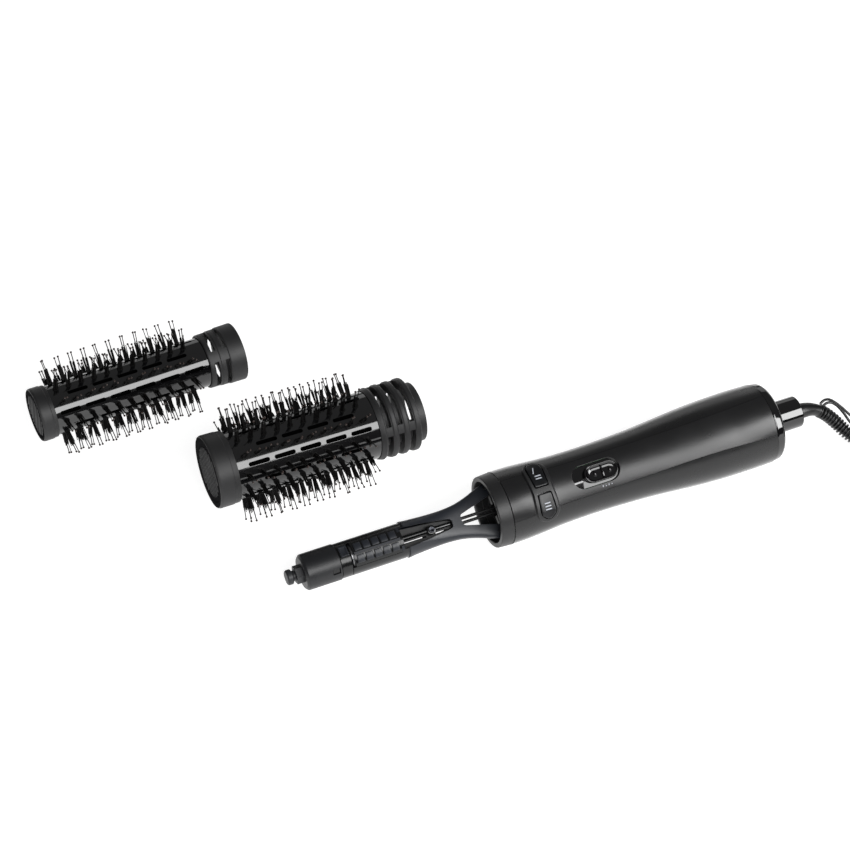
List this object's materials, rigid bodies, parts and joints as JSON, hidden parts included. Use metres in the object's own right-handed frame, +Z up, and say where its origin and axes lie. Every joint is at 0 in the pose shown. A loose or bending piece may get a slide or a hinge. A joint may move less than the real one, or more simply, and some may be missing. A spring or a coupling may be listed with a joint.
{
  "type": "rotating hot air brush with two heads",
  "caption": "Corded rotating hot air brush with a long powered spindle, lying beside its large and small removable round brush heads.",
  "frame": {"origin": "on the table, under the centre of the box around the handle and the two heads, without the cord and what is on it", "axes": "+X along the large head and nearly along the handle, from the brush tips towards the cord, +Y from the handle towards the heads, +Z up"},
  "size_m": [0.6499, 0.3399, 0.0781],
  "materials": {
    "soft_touch": "soft touch, satin",
    "gloss_black": "polished",
    "navy_black": "satin",
    "charcoal": "fine matte grain",
    "blue_grey": "satin",
    "dark_acetal": "matte",
    "bristle": "nylon filament with ball tips",
    "black_nylon": "matte",
    "black_pvc": "smooth PVC",
    "steel": "bare",
    "brass": "bare",
    "mica": "pressed mica",
    "board": "circuit board"
  },
  "bodies": {
    "cord_set": {"swivel_sleeve": "gloss_black", "strain_relief": "black_pvc", "hanging_loop": "black_pvc", "cord": "black_pvc", "cord_tail": "black_pvc", "cord_coil": "black_pvc", "plug_body": "black_nylon", "plug_pin_1": "brass", "plug_pin_2": "brass"},
    "handle": {"mouth_ring": "soft_touch", "handle_shell": "soft_touch", "top_panel": "soft_touch", "button_bezel": "soft_touch", "rear_ring": "gloss_black", "slider_track": "gloss_black", "spindle_front_shell": "blue_grey", "spindle_back_shell": "blue_grey", "motor_cover": "blue_grey", "clamp_ring": "blue_grey", "gear_housing": "blue_grey", "motor_mount": "black_nylon", "intake_grille": "black_nylon", "outlet_sleeve": "black_nylon", "left_microswitch": "black_nylon", "right_microswitch": "black_nylon", "slide_switch": "black_nylon", "left_wire": "black_pvc", "right_wire": "black_pvc", "heat_shield": "steel", "heating_coil": "steel", "thermal_cutout": "steel", "fan_motor": "steel", "spindle_screw": "steel", "ring_gear": "steel", "gear_motor": "steel", "heater_frame": "mica", "control_board": "board"},
    "drive": {"drive_pin": "dark_acetal"},
    "sun": {"sun_gear": "steel"},
    "planet_1": {"planet_gear_1": "brass"},
    "planet_2": {"planet_gear_2": "brass"},
    "planet_3": {"planet_gear_3": "brass"},
    "fan": {"fan_impeller": "black_nylon"},
    "slider": {"power_slider": "gloss_black"},
    "left_button_cap": {"left_button": "navy_black"},
    "right_button_cap": {"right_button": "navy_black"},
    "large_head": {"large_front_cap": "charcoal", "large_barrel": "gloss_black", "large_drive_socket": "black_nylon", "large_rear_collar": "charcoal", "large_bristles": "bristle"},
    "small_head": {"small_front_cap": "charcoal", "small_barrel": "gloss_black", "small_drive_socket": "black_nylon", "small_rear_collar": "charcoal", "small_bristles": "bristle"}
  },
  "joints": [
    {"name": "cord_swivel", "type": "hinge", "parent": "cord_set", "child": "handle", "pos_m": [0.211, -0.10544, 0.0284], "axis": [0.9998, 0, 0.0178], "continuous": true},
    {"name": "drive_spin", "type": "hinge", "parent": "handle", "child": "drive", "pos_m": [-0.12195, -0.10544, 0.02246], "axis": [0.9998, 0, 0.0178], "continuous": true},
    {"name": "sun_spin", "type": "hinge", "parent": "handle", "child": "sun", "pos_m": [-0.11195, -0.10544, 0.02264], "axis": [0.9998, 0, 0.0178], "continuous": true},
    {"name": "fan_spin", "type": "hinge", "parent": "handle", "child": "fan", "pos_m": [0.11801, -0.10544, 0.02674], "axis": [0.9998, 0, 0.0178], "continuous": true},
    {"name": "power_slide", "type": "slide", "parent": "handle", "child": "slider", "axis": [-0.9998, 0, -0.0178], "range_m": [0, 0.0084]},
    {"name": "planet_1_spin", "type": "hinge", "parent": "drive", "child": "planet_1", "pos_m": [-0.11201, -0.10056, 0.02612], "axis": [0.9998, 0, 0.0178], "continuous": true},
    {"name": "planet_2_spin", "type": "hinge", "parent": "drive", "child": "planet_2", "pos_m": [-0.112, -0.1109, 0.02513], "axis": [0.9998, 0, 0.0178], "continuous": true},
    {"name": "planet_3_spin", "type": "hinge", "parent": "drive", "child": "planet_3", "pos_m": [-0.11184, -0.10486, 0.01667], "axis": [0.9998, 0, 0.0178], "continuous": true},
    {"name": "left_button_press", "type": "slide", "parent": "handle", "child": "left_button_cap", "axis": [0.0082, 0.887, -0.4617], "range_m": [0, 0.0012], "stiffness_N_per_m": 60, "springref_m": -0.002},
    {"name": "right_button_press", "type": "slide", "parent": "handle", "child": "right_button_cap", "axis": [0.0176, 0.1478, -0.9889], "range_m": [0, 0.0012], "stiffness_N_per_m": 60, "springref_m": -0.002},
    {"name": "large_head_lift", "type": "slide", "parent": "cord_set", "child": "large_head", "axis": [0, 0, 1], "range_m": [0, 0.12]},
    {"name": "small_head_lift", "type": "slide", "parent": "cord_set", "child": "small_head", "axis": [0, 0, 1], "range_m": [0, 0.12]}
  ],
  "couplings": [
    {"joint": "sun_spin", "follows": "drive_spin", "ratio": 4},
    {"joint": "planet_1_spin", "follows": "drive_spin", "ratio": -3},
    {"joint": "planet_2_spin", "follows": "drive_spin", "ratio": -3},
    {"joint": "planet_3_spin", "follows": "drive_spin", "ratio": -3}
  ]
}
